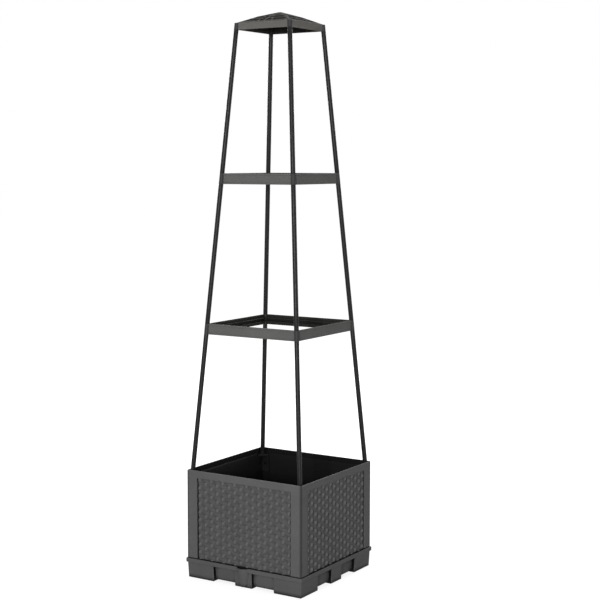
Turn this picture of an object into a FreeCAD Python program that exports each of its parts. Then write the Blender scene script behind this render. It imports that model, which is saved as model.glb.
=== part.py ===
import FreeCAD, Part
import os
import Sketcher

# A square planter box with a water tray below and a tapering climbing cage above.
# +Z is up, the ground is z = 0, the cage's axis is x = y = 0 and the filling spout faces -Y.
# All lengths are millimetres.

CORNERS = 4
QUARTER_TURN = 90
CUP_SLOTS = 8
ROOF_ROWS = 3
CORNER_FACETS = 3
MITRE = 45

# Heights of a ring's inner ribs, and the bend of the roof, as shares of the ring's height,
# of the eave's half width and of the roof's rise
RING_RIB_SHARES = (0.3, 0.65)
ROOF_BEND_SHARE = 0.5
ROOF_BEND_RISE_SHARE = 0.6

SIZES = {
    # Box walls
    "panel_span": 286,
    "panel_wall": 2.4,
    "panel_height": 197,
    "field_inset": 2,
    "side_border": 26,
    "top_border": 15,
    "corner_round": 1.5,
    "seam_gap": 0.15,
    "stake_pitch": 14.3,
    "strand_height": 8.6,
    "strand_gap": 0.6,
    "strand_slope": 4,
    "strand_depth": 1.6,
    # Water tray
    "seat_height": 36,
    "shelf_thickness": 3,
    "shelf_reach": 13,
    "lip_height": 6,
    "lip_overhang": 3,
    "lip_clearance": 0.3,
    "lip_corner_round": 3,
    "lip_round": 1.5,
    "tray_wall": 2.5,
    "foot_rise": 3.5,
    "foot_taper": 1.5,
    "foot_round": 1.5,
    "corner_foot": 67,
    "side_foot": 43,
    "side_foot_depth": 30,
    "recess_depth": 8,
    "pillar_diameter": 14,
    "pillar_offset": 75,
    "centre_foot": 50,
    # Filling spout
    "spout_mouth": 36,
    "spout_toe": 20,
    "spout_setback": 7,
    "spout_drop": 0.5,
    "spout_wall": 2.2,
    "spout_lift": 1.5,
    # Drain floor and wick cups
    "floor_thickness": 2.5,
    "floor_clearance": 0.4,
    "drain_hole": 6,
    "drain_pitch": 22,
    "cup_mouth": 46,
    "cup_toe": 36,
    "cup_wall": 1.8,
    "cup_flange": 4,
    "cup_offset": 62,
    "cup_clearance": 0.4,
    "cup_stand": 1.5,
    "cup_slot": 3,
    "cup_slot_height": 14,
    # Corner brackets
    "bracket_gap": 1,
    "bracket_wall": 2.4,
    "bracket_drop": 40,
    "bracket_clearance": 0.1,
    "gusset_thickness": 5,
    "stop_thickness": 3,
    "stop_reach": 2.4,
    "catch_width": 7,
    "catch_height": 5,
    "catch_hook": 1.2,
    "catch_clearance": 0.3,
    # Poles and the pins that hold them
    "pole_diameter": 10,
    "pole_wall": 0.8,
    "pole_sink": 14,
    "pole_gap": 0.55,
    "cap_width": 131.8,
    "pin_length": 14,
    "pin_clearance": 0.3,
    # Rings
    "lower_rise": 288.5,
    "middle_rise": 316,
    "upper_rise": 319.2,
    "ring_height": 22.5,
    "ring_wall": 2.4,
    "ring_rib_reach": 5,
    "ring_rib_thickness": 2,
    # Top cap
    "cap_height": 14,
    "roof_rise": 24,
    "roof_thickness": 2.4,
    "roof_crown": 5,
    "roof_eave": 8,
    "roof_slot": 10,
    "roof_bar": 4,
    "hip_bar": 7,
    "slot_pitch": 16,
    "slot_bar": 3.5,
    # How far a cutting shape runs past the surface it cuts
    "overrun": 1,
}

# Places worked out from the sizes, each a formula on the sizes and on the places before it
PLACES = {
    "half_span": "Sizes.panel_span / 2",
    "panel_inner": "half_span - Sizes.panel_wall",
    "field_face": "half_span - Sizes.field_inset",
    "field_back": "panel_inner - Sizes.field_inset",
    "field_half": "half_span - Sizes.side_border",
    "rim": "Sizes.seat_height + Sizes.panel_height",
    "field_top": "rim - Sizes.top_border",
    "lip_outer": "half_span + Sizes.lip_overhang",
    "lip_inner": "half_span + Sizes.lip_clearance",
    "lip_top": "Sizes.seat_height + Sizes.lip_height",
    "shelf_bottom": "Sizes.seat_height - Sizes.shelf_thickness",
    "shelf_inner": "half_span - Sizes.shelf_reach",
    "toe_half": "half_span - Sizes.foot_taper",
    "tray_floor": "Sizes.foot_rise + Sizes.tray_wall",
    "spout_axis": "half_span - Sizes.spout_setback",
    "spout_height": "lip_top - Sizes.spout_drop - Sizes.spout_lift",
    "floor_half": "field_back - Sizes.floor_clearance",
    "floor_top": "Sizes.seat_height + Sizes.floor_thickness",
    "cup_hole": "Sizes.cup_mouth / 2 + Sizes.cup_clearance",
    "cup_bottom": "tray_floor + Sizes.cup_stand",
    "pole_seat": "rim - Sizes.pole_sink",
    "lower_ring": "rim + Sizes.lower_rise",
    "upper_ring": "lower_ring + Sizes.middle_rise",
    "cap_bottom": "upper_ring + Sizes.upper_rise",
    "cap_top": "cap_bottom + Sizes.cap_height",
    "pole_radius": "Sizes.pole_diameter / 2",
    "seat_axis": "panel_inner - Sizes.pole_gap - pole_radius",
    "lean": "(seat_axis - Sizes.cap_width / 2) / (cap_bottom - pole_seat)",
    "bore_radius": "pole_radius - Sizes.pole_wall",
    "pin_drift": "lean * Sizes.pin_length / 2",
    "pin_radius": "bore_radius - sqrt(2) * pin_drift - Sizes.pin_clearance",
    "bracket_outer": "panel_inner - Sizes.bracket_clearance",
    "bracket_inner": "bracket_outer - Sizes.bracket_wall",
    "bracket_end": "field_half + Sizes.panel_wall + Sizes.bracket_gap",
    "bracket_bottom": "pole_seat - Sizes.bracket_drop",
    "catch_middle": "(bracket_inner + bracket_end) / 2",
    "catch_bottom": "(bracket_bottom + pole_seat - Sizes.gusset_thickness - Sizes.catch_height) / 2",
    "catch_reach": "Sizes.bracket_clearance + Sizes.bracket_wall + Sizes.catch_hook",
}

document = FreeCAD.newDocument("planter")


def fill_sheet(name, cells):
    """A spreadsheet with one named cell to a row."""
    sheet = document.addObject("Spreadsheet::Sheet", name)
    for row, (alias, content) in enumerate(cells.items(), start=1):
        sheet.set(f"A{row}", alias)
        sheet.set(f"B{row}", content)
        sheet.setAlias(f"B{row}", alias)
    document.recompute()
    return sheet


sizes = fill_sheet("Sizes", {name: str(size) for name, size in SIZES.items()})
places = fill_sheet("Places", {name: f"={formula}" for name, formula in PLACES.items()})


def value(expression):
    """The number that an expression on the two sheets comes to."""
    result = sizes.evalExpression(expression)
    return float(getattr(result, "Value", result))


def pole_axis(height):
    """How far the pole axes stand from the cage's middle planes at a height."""
    return f"(Places.seat_axis - Places.lean * ({height} - Places.pole_seat))"


# Drawing helpers


def new_body(label):
    body = document.addObject("PartDesign::Body", label)
    body.Label = label
    return body


def origin_feature(body, role):
    return next(feature for feature in body.Origin.OriginFeatures if feature.Role == role)


def sketch_on(body, name, role, offset):
    """A sketch on an origin plane, moved along the plane's normal by an expression."""
    sketch = body.newObject("Sketcher::SketchObject", name)
    sketch.AttachmentSupport = (origin_feature(body, role), [""])
    sketch.MapMode = "FlatFace"
    sketch.setExpression("AttachmentOffset.Base.z", offset)
    return sketch


def hold(sketch, constraints, expressions):
    """Add constraints to a sketch, each bound to its expression where it has one."""
    indices = sketch.addConstraint(constraints)
    for index, expression in zip(indices, expressions):
        if expression:
            sketch.setExpression(f"Constraints[{index}]", expression)


def at_point(geometry, point, x, y):
    """The two constraints that hold a point of a sketch at two expressions."""
    return [Sketcher.Constraint(kind, -1, 1, geometry, point, value(expression))
            for kind, expression in (("DistanceX", x), ("DistanceY", y))]


def polygon(sketch, points):
    """A closed outline through points that are pairs of expressions."""
    corners = [FreeCAD.Vector(value(x), value(y), 0) for x, y in points]
    first = sketch.GeometryCount
    lines = [Part.LineSegment(start, end) for start, end in zip(corners, corners[1:] + corners[:1])]
    sketch.addGeometry(lines, False)
    constraints = []
    expressions = []
    for step, (x, y) in enumerate(points):
        following = first + (step + 1) % len(points)
        constraints.append(Sketcher.Constraint("Coincident", first + step, 2, following, 1))
        constraints += at_point(first + step, 1, x, y)
        expressions += [None, x, y]
    hold(sketch, constraints, expressions)


def rectangle(sketch, left, right, bottom, top):
    polygon(sketch, [(left, bottom), (right, bottom), (right, top), (left, top)])


def square(sketch, half):
    rectangle(sketch, f"-({half})", half, f"-({half})", half)


def circle(sketch, x, y, radius):
    centre = FreeCAD.Vector(value(x), value(y), 0)
    normal = FreeCAD.Vector(0, 0, 1)
    index = sketch.addGeometry(Part.Circle(centre, normal, value(radius)), False)
    size = Sketcher.Constraint("Radius", index, value(radius))
    hold(sketch, at_point(index, 3, x, y) + [size], [x, y, radius])


def quarter_turns(points):
    """The points of one side, followed by the same points on the other three sides."""
    outline = []
    side = points
    for _ in range(CORNERS):
        outline += side
        side = [(f"-({y})", x) for x, y in side]
    return outline


def swept(body, kind, sketch, length, reverse=False):
    """A pad or a pocket of a sketch, as long as an expression says."""
    feature = body.newObject(f"PartDesign::{kind}", f"{sketch.Name}{kind}")
    feature.Profile = sketch
    feature.Reversed = reverse
    feature.setExpression("Length", length)
    body.Tip = feature
    return feature


def leaning_pad(body, sketch, height):
    """A pad that leans toward the cage's axis from the +X +Y corner, as the poles do."""
    pad = swept(body, "Pad", sketch, height)
    pad.UseCustomVector = True
    pad.AlongSketchNormal = True
    pad.Direction = FreeCAD.Vector(0, 0, 1)
    pad.setExpression("Direction.x", "-Places.lean")
    pad.setExpression("Direction.y", "-Places.lean")
    return pad


def around(body, features, count=CORNERS):
    """Features repeated evenly around the vertical axis."""
    pattern = body.newObject("PartDesign::PolarPattern", f"{features[0].Name}Around")
    pattern.Originals = features
    pattern.Axis = (origin_feature(body, "Z_Axis"), [""])
    pattern.Angle = QUARTER_TURN * CORNERS
    pattern.Occurrences = count
    body.Tip = pattern
    return pattern


def loft(body, kind, lowest, others):
    feature = body.newObject(f"PartDesign::{kind}", f"{lowest.Name}{kind}")
    feature.Profile = lowest
    feature.Sections = others
    feature.Ruled = True
    body.Tip = feature
    return feature


def rounded(body, radius, wanted):
    """Round the edges of the body's tip that a test on the edge picks."""
    document.recompute()
    base = body.Tip
    names = [f"Edge{place}" for place, edge in enumerate(base.Shape.Edges, start=1) if wanted(edge)]
    fillet = body.newObject("PartDesign::Fillet", f"{base.Name}Round")
    fillet.Base = (base, names)
    fillet.setExpression("Radius", radius)
    body.Tip = fillet
    return fillet


def turned_copy(label, source, turns):
    """The same moulding again, turned about the vertical axis by quarter turns."""
    body = new_body(label)
    clone = body.newObject("PartDesign::FeatureBase", f"{label}Clone")
    clone.BaseFeature = source
    body.Tip = clone
    axis = FreeCAD.Vector(0, 0, 1)
    body.Placement = FreeCAD.Placement(FreeCAD.Vector(), FreeCAD.Rotation(axis, turns * QUARTER_TURN))
    return body


def corner_copies(prefix, source):
    """A piece made for the back right corner, and its copies for the other three corners."""
    names = ("back_right", "back_left", "front_left", "front_right")
    source.Label = f"{prefix}_{names[0]}"
    return [source] + [turned_copy(f"{prefix}_{name}", source, turns)
                       for turns, name in enumerate(names[1:], start=1)]


# Water tray


def foot_outline(half, inset):
    """The outline of the tray's skirt: a foot at each corner and one in each side, moved in."""
    outer = f"({half} - {inset})"
    recess = f"({half} - Sizes.recess_depth - {inset})"
    corner = f"({half} - Sizes.corner_foot + {inset})"
    middle = f"(Sizes.side_foot / 2 - {inset})"
    return quarter_turns([
        (f"-{outer}", f"-{outer}"),
        (f"-{corner}", f"-{outer}"),
        (f"-{corner}", f"-{recess}"),
        (f"-{middle}", f"-{recess}"),
        (f"-{middle}", f"-{outer}"),
        (middle, f"-{outer}"),
        (middle, f"-{recess}"),
        (corner, f"-{recess}"),
        (corner, f"-{outer}"),
    ])


def foot_blocks(sketch, half, inset):
    """The eight feet as separate rectangles, moved in from their own outlines."""
    outer = f"({half} - {inset})"
    corner = f"({half} - Sizes.corner_foot + {inset})"
    middle = f"(Sizes.side_foot / 2 - {inset})"
    depth = f"({half} - Sizes.side_foot_depth + {inset})"
    corner_block = [(f"-{outer}", f"-{outer}"), (f"-{corner}", f"-{outer}"),
                    (f"-{corner}", f"-{corner}"), (f"-{outer}", f"-{corner}")]
    side_block = [(f"-{middle}", f"-{outer}"), (middle, f"-{outer}"),
                  (middle, f"-{depth}"), (f"-{middle}", f"-{depth}")]
    for block in (corner_block, side_block):
        points = quarter_turns(block)
        for start in range(0, len(points), len(block)):
            polygon(sketch, points[start:start + len(block)])


def spout_cone(body, kind, inset, rise):
    """The spout's cone, or the taller hollow inside it, standing behind the front wall."""
    cone = body.newObject(f"PartDesign::{kind}", f"Spout{kind}")
    cone.AttachmentSupport = (origin_feature(body, "XY_Plane"), [""])
    cone.MapMode = "FlatFace"
    cone.setExpression("AttachmentOffset.Base.y", "-Places.spout_axis")
    cone.setExpression("AttachmentOffset.Base.z", f"Sizes.spout_lift + {inset}")
    cone.setExpression("Radius1", f"Sizes.spout_toe / 2 - {inset}")
    cone.setExpression("Radius2", f"Sizes.spout_mouth / 2 - {inset}")
    cone.setExpression("Height", f"Places.spout_height + {rise} - {inset}")
    body.Tip = cone
    return cone


def water_tray():
    body = new_body("water_tray")
    toe = sketch_on(body, "SkirtToe", "XY_Plane", "0")
    polygon(toe, foot_outline("Places.toe_half", "0"))
    top = sketch_on(body, "SkirtTop", "XY_Plane", "Places.shelf_bottom")
    polygon(top, foot_outline("Places.half_span", "0"))
    loft(body, "AdditiveLoft", toe, [top])

    skirt_height = value("Places.shelf_bottom")
    skirt_floor = value("Sizes.foot_taper")
    rounded(body, "Sizes.foot_round", lambda edge: edge.BoundBox.ZLength > skirt_height / 2)

    lip = sketch_on(body, "Lip", "XY_Plane", "Places.shelf_bottom")
    square(lip, "Places.lip_outer")
    swept(body, "Pad", lip, "Sizes.shelf_thickness + Sizes.lip_height")
    beyond_skirt = value("Places.half_span + Sizes.lip_clearance")

    def on_lip(edge):
        return max(abs(edge.CenterOfMass.x), abs(edge.CenterOfMass.y)) > beyond_skirt

    rounded(body, "Sizes.lip_corner_round", lambda edge: on_lip(edge) and edge.BoundBox.ZLength > skirt_floor)
    rounded(body, "Sizes.lip_round", lambda edge: on_lip(edge) and edge.BoundBox.ZLength < skirt_floor)
    spout_cone(body, "AdditiveCone", "0", "0")

    under = sketch_on(body, "Underside", "XY_Plane", "0")
    square(under, "Places.half_span + Sizes.overrun")
    foot_blocks(under, "Places.half_span", "0")
    circle(under, "0", "0", "Sizes.centre_foot / 2")
    swept(body, "Pocket", under, "Sizes.foot_rise", reverse=True)

    well = sketch_on(body, "PanelWell", "XY_Plane", "Places.lip_top + Sizes.overrun")
    square(well, "Places.lip_inner")
    swept(body, "Pocket", well, "Sizes.lip_height + Sizes.overrun")
    opening = sketch_on(body, "ShelfOpening", "XY_Plane", "Places.lip_top")
    square(opening, "Places.shelf_inner")
    swept(body, "Pocket", opening, "Sizes.lip_height + Sizes.shelf_thickness")
    cavity = sketch_on(body, "Cavity", "XY_Plane", "Places.shelf_bottom")
    polygon(cavity, foot_outline("Places.toe_half", "Sizes.tray_wall"))
    swept(body, "Pocket", cavity, "Places.shelf_bottom - Places.tray_floor")
    hollows = sketch_on(body, "FootHollows", "XY_Plane", "Places.tray_floor")
    foot_blocks(hollows, "Places.toe_half", "Sizes.tray_wall")
    swept(body, "Pocket", hollows, "Sizes.foot_rise")
    spout_cone(body, "SubtractiveCone", "Sizes.spout_wall", "Sizes.spout_drop")

    pillars = sketch_on(body, "Pillars", "XY_Plane", "Places.tray_floor")
    radius = "Sizes.pillar_diameter / 2"
    circle(pillars, "0", "0", radius)
    for x, y in quarter_turns([("Sizes.pillar_offset", "0")]):
        circle(pillars, x, y, radius)
    swept(body, "Pad", pillars, "Sizes.seat_height - Places.tray_floor")
    return body


# Wicker panels


def woven_rows(body):
    """Rows of strands that pass over every second stake, each row over those the last went under."""
    stakes = int(value("2 * Places.field_half") // value("Sizes.stake_pitch"))
    rows = int(value("Places.field_top - Sizes.seat_height") // value("Sizes.strand_height"))
    wall = "-Places.field_face"
    crest = "-(Places.field_face + Sizes.strand_depth)"
    for start in range(2):
        height = f"Sizes.seat_height + Sizes.strand_height * {start}"
        drawing = sketch_on(body, f"Strand{start}", "XY_Plane", height)
        for stake in range(start, stakes, 2):
            left = f"(Sizes.stake_pitch * {stake - stakes / 2})"
            right = f"(Sizes.stake_pitch * {stake + 1 - stakes / 2})"
            polygon(drawing, [(left, wall), (f"{left} + Sizes.strand_slope", crest),
                              (f"{right} - Sizes.strand_slope", crest), (right, wall)])
        strand = swept(body, "Pad", drawing, "Sizes.strand_height - Sizes.strand_gap")
        pattern = body.newObject("PartDesign::LinearPattern", f"Rows{start}")
        pattern.Originals = [strand]
        pattern.Direction = (origin_feature(body, "Z_Axis"), [""])
        copies = (rows - start + 1) // 2
        pattern.setExpression("Length", f"Sizes.strand_height * 2 * {copies - 1}")
        pattern.Occurrences = copies
        body.Tip = pattern


def front_panel():
    """The front wall: a mitred plate whose woven field steps back from a border on three sides."""
    body = new_body("front_panel")
    plan = sketch_on(body, "Plan", "XY_Plane", "Sizes.seat_height")
    face = "Places.half_span"
    back = "Places.field_back"
    right_end = [(f"({back} - Sizes.seam_gap)", f"-{back}")]
    for step in range(CORNER_FACETS + 1):
        angle = f"{MITRE * (1 + step / CORNER_FACETS)} deg"
        round_x = f"({face} - Sizes.seam_gap - Sizes.corner_round * (1 - cos({angle})))"
        round_y = f"-({face} - Sizes.corner_round * (1 - sin({angle})))"
        right_end.append((round_x, round_y))
    left_end = [(f"-{x}", y) for x, y in reversed(right_end)]
    polygon(plan, left_end + right_end)
    swept(body, "Pad", plan, "Sizes.panel_height")

    field = sketch_on(body, "Field", "XZ_Plane", face)
    bottom = "Sizes.seat_height - Sizes.overrun"
    rectangle(field, "-Places.field_half", "Places.field_half", bottom, "Places.field_top")
    swept(body, "Pocket", field, "Sizes.field_inset")

    behind = sketch_on(body, "BorderBack", "XZ_Plane", back)
    outside = f"({face} + Sizes.overrun)"
    inside = "(Places.field_half + Sizes.panel_wall)"
    polygon(behind, [
        (f"-{outside}", bottom),
        (f"-{inside}", bottom),
        (f"-{inside}", "Places.field_top + Sizes.panel_wall"),
        (inside, "Places.field_top + Sizes.panel_wall"),
        (inside, bottom),
        (outside, bottom),
        (outside, "Places.rim + Sizes.overrun"),
        (f"-{outside}", "Places.rim + Sizes.overrun"),
    ])
    swept(body, "Pocket", behind, "Sizes.field_inset", reverse=True)

    stops = sketch_on(body, "BracketStops", "XZ_Plane", "Places.panel_inner")
    stop_end = "(Places.panel_inner - Sizes.stop_reach - Sizes.catch_clearance)"
    stop_bottom = "Places.bracket_bottom - Sizes.stop_thickness"
    rectangle(stops, "Places.bracket_end", stop_end, stop_bottom, "Places.bracket_bottom")
    rectangle(stops, f"-{stop_end}", "-Places.bracket_end", stop_bottom, "Places.bracket_bottom")
    swept(body, "Pad", stops, "Sizes.stop_reach", reverse=True)

    for side, sign in (("Right", ""), ("Left", "-")):
        middle = f"{sign}Places.catch_middle"
        catch = sketch_on(body, f"Catch{side}", "YZ_Plane", f"{middle} - Sizes.catch_width / 2")
        wall = "-Places.panel_inner"
        polygon(catch, [
            (wall, "Places.catch_bottom"),
            (f"{wall} + Places.catch_reach", "Places.catch_bottom"),
            (wall, "Places.catch_bottom + Sizes.catch_height"),
        ])
        swept(body, "Pad", catch, "Sizes.catch_width")
    woven_rows(body)
    return body


# Drain floor and wick cups


def drain_floor():
    body = new_body("drain_floor")
    plate = sketch_on(body, "Plate", "XY_Plane", "Sizes.seat_height")
    square(plate, "Places.floor_half")
    for x, y in quarter_turns([("Sizes.cup_offset", "Sizes.cup_offset")]):
        circle(plate, x, y, "Places.cup_hole")
    swept(body, "Pad", plate, "Sizes.floor_thickness")

    # One quarter's holes, on a square grid that keeps off the cups, the pillars and the edge
    holes = sketch_on(body, "DrainHoles", "XY_Plane", "Places.floor_top")
    pitch = value("Sizes.drain_pitch")
    reach = value("Places.shelf_inner - Sizes.drain_hole")
    cup = value("Sizes.cup_offset")
    clear_of_cup = value("Sizes.cup_mouth / 2 + Sizes.cup_flange + Sizes.drain_hole")
    clear_of_pillar = value("Sizes.pillar_diameter / 2 + Sizes.drain_hole")
    pillar = value("Sizes.pillar_offset")
    steps = range(1, int(reach // pitch) + 1)
    grid = [(column, row) for column in steps for row in range(0, len(steps) + 1)]
    for column, row in grid:
        x = column * pitch
        y = row * pitch
        near_cup = (x - cup) ** 2 + (y - cup) ** 2 < clear_of_cup ** 2
        near_pillar = (x - pillar) ** 2 + y ** 2 < clear_of_pillar ** 2
        if not near_cup and not near_pillar:
            circle(holes, f"Sizes.drain_pitch * {column}", f"Sizes.drain_pitch * {row}",
                   "Sizes.drain_hole / 2")
    pocket = swept(body, "Pocket", holes, "Sizes.floor_thickness")
    around(body, [pocket])
    return body


def wick_cup():
    """A tapering cup hung by its flange from the drain floor, with slots that let water in."""
    body = new_body("wick_cup")
    profile = sketch_on(body, "CupProfile", "XZ_Plane", "0")
    mouth = "Sizes.cup_mouth / 2"
    toe = "Sizes.cup_toe / 2"
    rim = "Places.floor_top"
    polygon(profile, [
        ("0", "Places.cup_bottom"),
        (toe, "Places.cup_bottom"),
        (mouth, rim),
        (f"{mouth} + Sizes.cup_flange", rim),
        (f"{mouth} + Sizes.cup_flange", f"{rim} + Sizes.cup_wall"),
        (f"{mouth} - Sizes.cup_wall", f"{rim} + Sizes.cup_wall"),
        (f"{toe} - Sizes.cup_wall", "Places.cup_bottom + Sizes.cup_wall"),
        ("0", "Places.cup_bottom + Sizes.cup_wall"),
    ])
    turned = body.newObject("PartDesign::Revolution", "CupWall")
    turned.Profile = profile
    turned.ReferenceAxis = (origin_feature(body, "Z_Axis"), [""])
    turned.Angle = QUARTER_TURN * CORNERS
    body.Tip = turned

    slot = sketch_on(body, "CupSlot", "YZ_Plane", "0")
    half = "Sizes.cup_slot / 2"
    bottom = "Places.cup_bottom + Sizes.cup_wall + Sizes.cup_slot"
    rectangle(slot, f"-{half}", half, bottom, f"{bottom} + Sizes.cup_slot_height")
    cut = swept(body, "Pocket", slot, mouth, reverse=True)
    around(body, [cut], CUP_SLOTS)
    offset = "Sizes.cup_offset"
    body.setExpression("Placement.Base.x", offset)
    body.setExpression("Placement.Base.y", offset)
    return body


def cup_copies(source):
    """The four cups, which differ only in the quarter of the floor they hang in."""
    source.Label = "wick_cup_back_right"
    made = [source]
    for name, x, y in (("back_left", "-", ""), ("front_left", "-", "-"), ("front_right", "", "-")):
        body = new_body(f"wick_cup_{name}")
        clone = body.newObject("PartDesign::FeatureBase", f"wick_cup_{name}Clone")
        clone.BaseFeature = source
        body.Tip = clone
        body.setExpression("Placement.Base.x", f"{x}Sizes.cup_offset")
        body.setExpression("Placement.Base.y", f"{y}Sizes.cup_offset")
        made.append(body)
    return made


# Corner brackets


def upright_pin(body, name, foot, above=True):
    """A vertical pin that a leaning pole slides over, centred in the pole's bore at half its length."""
    direction = "+" if above else "-"
    middle = pole_axis(f"({foot} {direction} Sizes.pin_length / 2)")
    drawing = sketch_on(body, name, "XY_Plane", foot)
    circle(drawing, middle, middle, "Places.pin_radius")
    return swept(body, "Pad", drawing, "Sizes.pin_length", reverse=not above)


def corner_bracket():
    body = new_body("corner_bracket")
    outer = "Places.bracket_outer"
    inner = "Places.bracket_inner"
    end = "Places.bracket_end"
    wings = sketch_on(body, "Wings", "XY_Plane", "Places.bracket_bottom")
    polygon(wings, [(outer, outer), (end, outer), (end, inner), (inner, inner), (inner, end), (outer, end)])
    swept(body, "Pad", wings, "Sizes.bracket_drop")
    gusset = sketch_on(body, "Gusset", "XY_Plane", "Places.pole_seat")
    polygon(gusset, [(outer, outer), (end, outer), (outer, end)])
    swept(body, "Pad", gusset, "Sizes.gusset_thickness", reverse=True)

    # A window in each wing snaps over the catch on the panel behind it
    half = "(Sizes.catch_width / 2 + Sizes.catch_clearance)"
    bottom = "Places.catch_bottom - Sizes.catch_clearance"
    top = "Places.catch_bottom + Sizes.catch_height + Sizes.catch_clearance"
    depth = "Sizes.bracket_wall + Sizes.overrun"
    across = sketch_on(body, "WindowAcross", "YZ_Plane", inner)
    rectangle(across, f"Places.catch_middle - {half}", f"Places.catch_middle + {half}", bottom, top)
    swept(body, "Pocket", across, depth, reverse=True)
    along = sketch_on(body, "WindowAlong", "XZ_Plane", f"-{inner}")
    rectangle(along, f"Places.catch_middle - {half}", f"Places.catch_middle + {half}", bottom, top)
    swept(body, "Pocket", along, depth)
    upright_pin(body, "BracketPin", "Places.pole_seat")
    return body


# Poles


def pole(label, bottom, top):
    """A tube in the back right corner, cut level at both ends."""
    body = new_body(label)
    drawing = sketch_on(body, f"{label}Section", "XY_Plane", bottom)
    middle = pole_axis(bottom)
    circle(drawing, middle, middle, "Places.pole_radius")
    circle(drawing, middle, middle, "Places.bore_radius")
    leaning_pad(body, drawing, f"{top} - ({bottom})")
    return body


# Rings and cap


def band(body, bottom, height):
    """A square band on the line of the pole axes, with a leaning post in each corner."""
    middle = pole_axis(f"({bottom} + {height} / 2)")
    drawing = sketch_on(body, "Band", "XY_Plane", bottom)
    square(drawing, f"({middle} + Sizes.ring_wall / 2)")
    square(drawing, f"({middle} - Sizes.ring_wall / 2)")
    swept(body, "Pad", drawing, height)
    post = sketch_on(body, "Post", "XY_Plane", bottom)
    corner = pole_axis(bottom)
    circle(post, corner, corner, "Places.pole_radius")
    around(body, [leaning_pad(body, post, height)])
    around(body, [upright_pin(body, "PinBelow", bottom, above=False)])
    return middle


def ring(label, bottom):
    body = new_body(label)
    middle = band(body, bottom, "Sizes.ring_height")
    top = f"({bottom} + Sizes.ring_height)"
    around(body, [upright_pin(body, "PinAbove", top)])
    for place, share in enumerate(RING_RIB_SHARES):
        rib_bottom = f"{bottom} + Sizes.ring_height * {share} - Sizes.ring_rib_thickness / 2"
        rib = sketch_on(body, f"InnerRib{place}", "XY_Plane", rib_bottom)
        square(rib, middle)
        square(rib, f"({middle} - Sizes.ring_wall / 2 - Sizes.ring_rib_reach)")
        swept(body, "Pad", rib, "Sizes.ring_rib_thickness")
    return body


def roof_slots(sketch, eave):
    """The slots of the roof's front slope: rows along the eave, cut off along the two hips."""
    hip = "Sizes.hip_bar / sqrt(2)"
    for row in range(ROOF_ROWS):
        outer = f"({eave} - Sizes.roof_eave - (Sizes.roof_slot + Sizes.roof_bar) * {row})"
        inner = f"({outer} - Sizes.roof_slot)"
        reach_outer = f"({outer} - {hip})"
        reach_inner = f"({inner} - {hip})"
        count = max(1, int(value(reach_inner) // value("Sizes.slot_pitch")))
        for column in range(count):
            last = column == count - 1
            left = f"(Sizes.slot_pitch * {column} + Sizes.slot_bar / 2)"
            right = f"(Sizes.slot_pitch * {column + 1} - Sizes.slot_bar / 2)"
            far_outer = reach_outer if last else right
            far_inner = reach_inner if last else right
            points = [(left, f"-{outer}"), (far_outer, f"-{outer}"), (far_inner, f"-{inner}"),
                      (left, f"-{inner}")]
            polygon(sketch, points)
            polygon(sketch, [(f"-{x}", y) for x, y in points])


def top_cap():
    """The band that closes the cage, under a low hipped roof pierced by rows of slots."""
    body = new_body("top_cap")
    middle = band(body, "Places.cap_bottom", "Sizes.cap_height")
    eave = f"({middle} + Sizes.ring_wall / 2)"
    shells = (("AdditiveLoft", "0", "0"), ("SubtractiveLoft", "Sizes.roof_thickness", "Sizes.ring_wall"))
    for kind, drop, wall in shells:
        low = sketch_on(body, f"Eave{kind}", "XY_Plane", f"Places.cap_top - {drop}")
        square(low, f"({eave} - {wall})")
        bend_height = f"Places.cap_top + Sizes.roof_rise * {ROOF_BEND_RISE_SHARE} - {drop}"
        bend = sketch_on(body, f"Bend{kind}", "XY_Plane", bend_height)
        square(bend, f"(({eave} - {wall}) * {ROOF_BEND_SHARE})")
        high = sketch_on(body, f"Crown{kind}", "XY_Plane", f"Places.cap_top + Sizes.roof_rise - {drop}")
        square(high, "Sizes.roof_crown / 2")
        loft(body, kind, low, [bend, high])
    slots = sketch_on(body, "RoofSlots", "XY_Plane", "Places.cap_top + Sizes.roof_rise")
    roof_slots(slots, eave)
    cut = swept(body, "Pocket", slots, "Sizes.roof_rise + Sizes.roof_thickness")
    around(body, [cut])
    return body


# The whole planter


def build():
    """All pieces in their places, as a list of bodies."""
    front = front_panel()
    panels = [front] + [turned_copy(f"{name}_panel", front, turns)
                        for turns, name in enumerate(("right", "back", "left"), start=1)]
    lower_top = "(Places.lower_ring + Sizes.ring_height)"
    upper_top = "(Places.upper_ring + Sizes.ring_height)"
    tiers = (
        ("lower_pole", "Places.pole_seat", "Places.lower_ring"),
        ("middle_pole", lower_top, "Places.upper_ring"),
        ("upper_pole", upper_top, "Places.cap_bottom"),
    )
    pieces = [water_tray(), drain_floor()] + panels + cup_copies(wick_cup())
    pieces += corner_copies("corner_bracket", corner_bracket())
    for label, bottom, top in tiers:
        pieces += corner_copies(label, pole(label, bottom, top))
    pieces += [ring("lower_ring", "Places.lower_ring"), ring("upper_ring", "Places.upper_ring"), top_cap()]
    return pieces


def write(pieces):
    """Write each piece to its own file, once all of them are sound."""
    document.recompute()
    for item in document.Objects:
        if {"Invalid", "Error"} & set(item.State):
            raise RuntimeError(f"{item.Label} could not be made: {item.State}")
    os.makedirs("parts", exist_ok=True)
    for piece in pieces:
        if piece.Shape.isNull() or not piece.Shape.isValid() or not piece.Shape.Solids:
            raise RuntimeError(f"{piece.Label} is not a sound solid")
        piece.Shape.exportStep(f"parts/{piece.Label}.step")
        print(piece.Label, len(piece.Shape.Solids), round(piece.Shape.Volume))


write(build())
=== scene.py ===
"""Looks of a square planter box with a water tray below and a tapering climbing tower above.

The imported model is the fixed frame: every piece here is made in its coordinates (metres, +Z up,
spout towards -Y) and rides on the body that carries it. Shapes are worked out with numpy in
millimetres, as grids of points, and turned to metres when they become meshes.
"""

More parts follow.
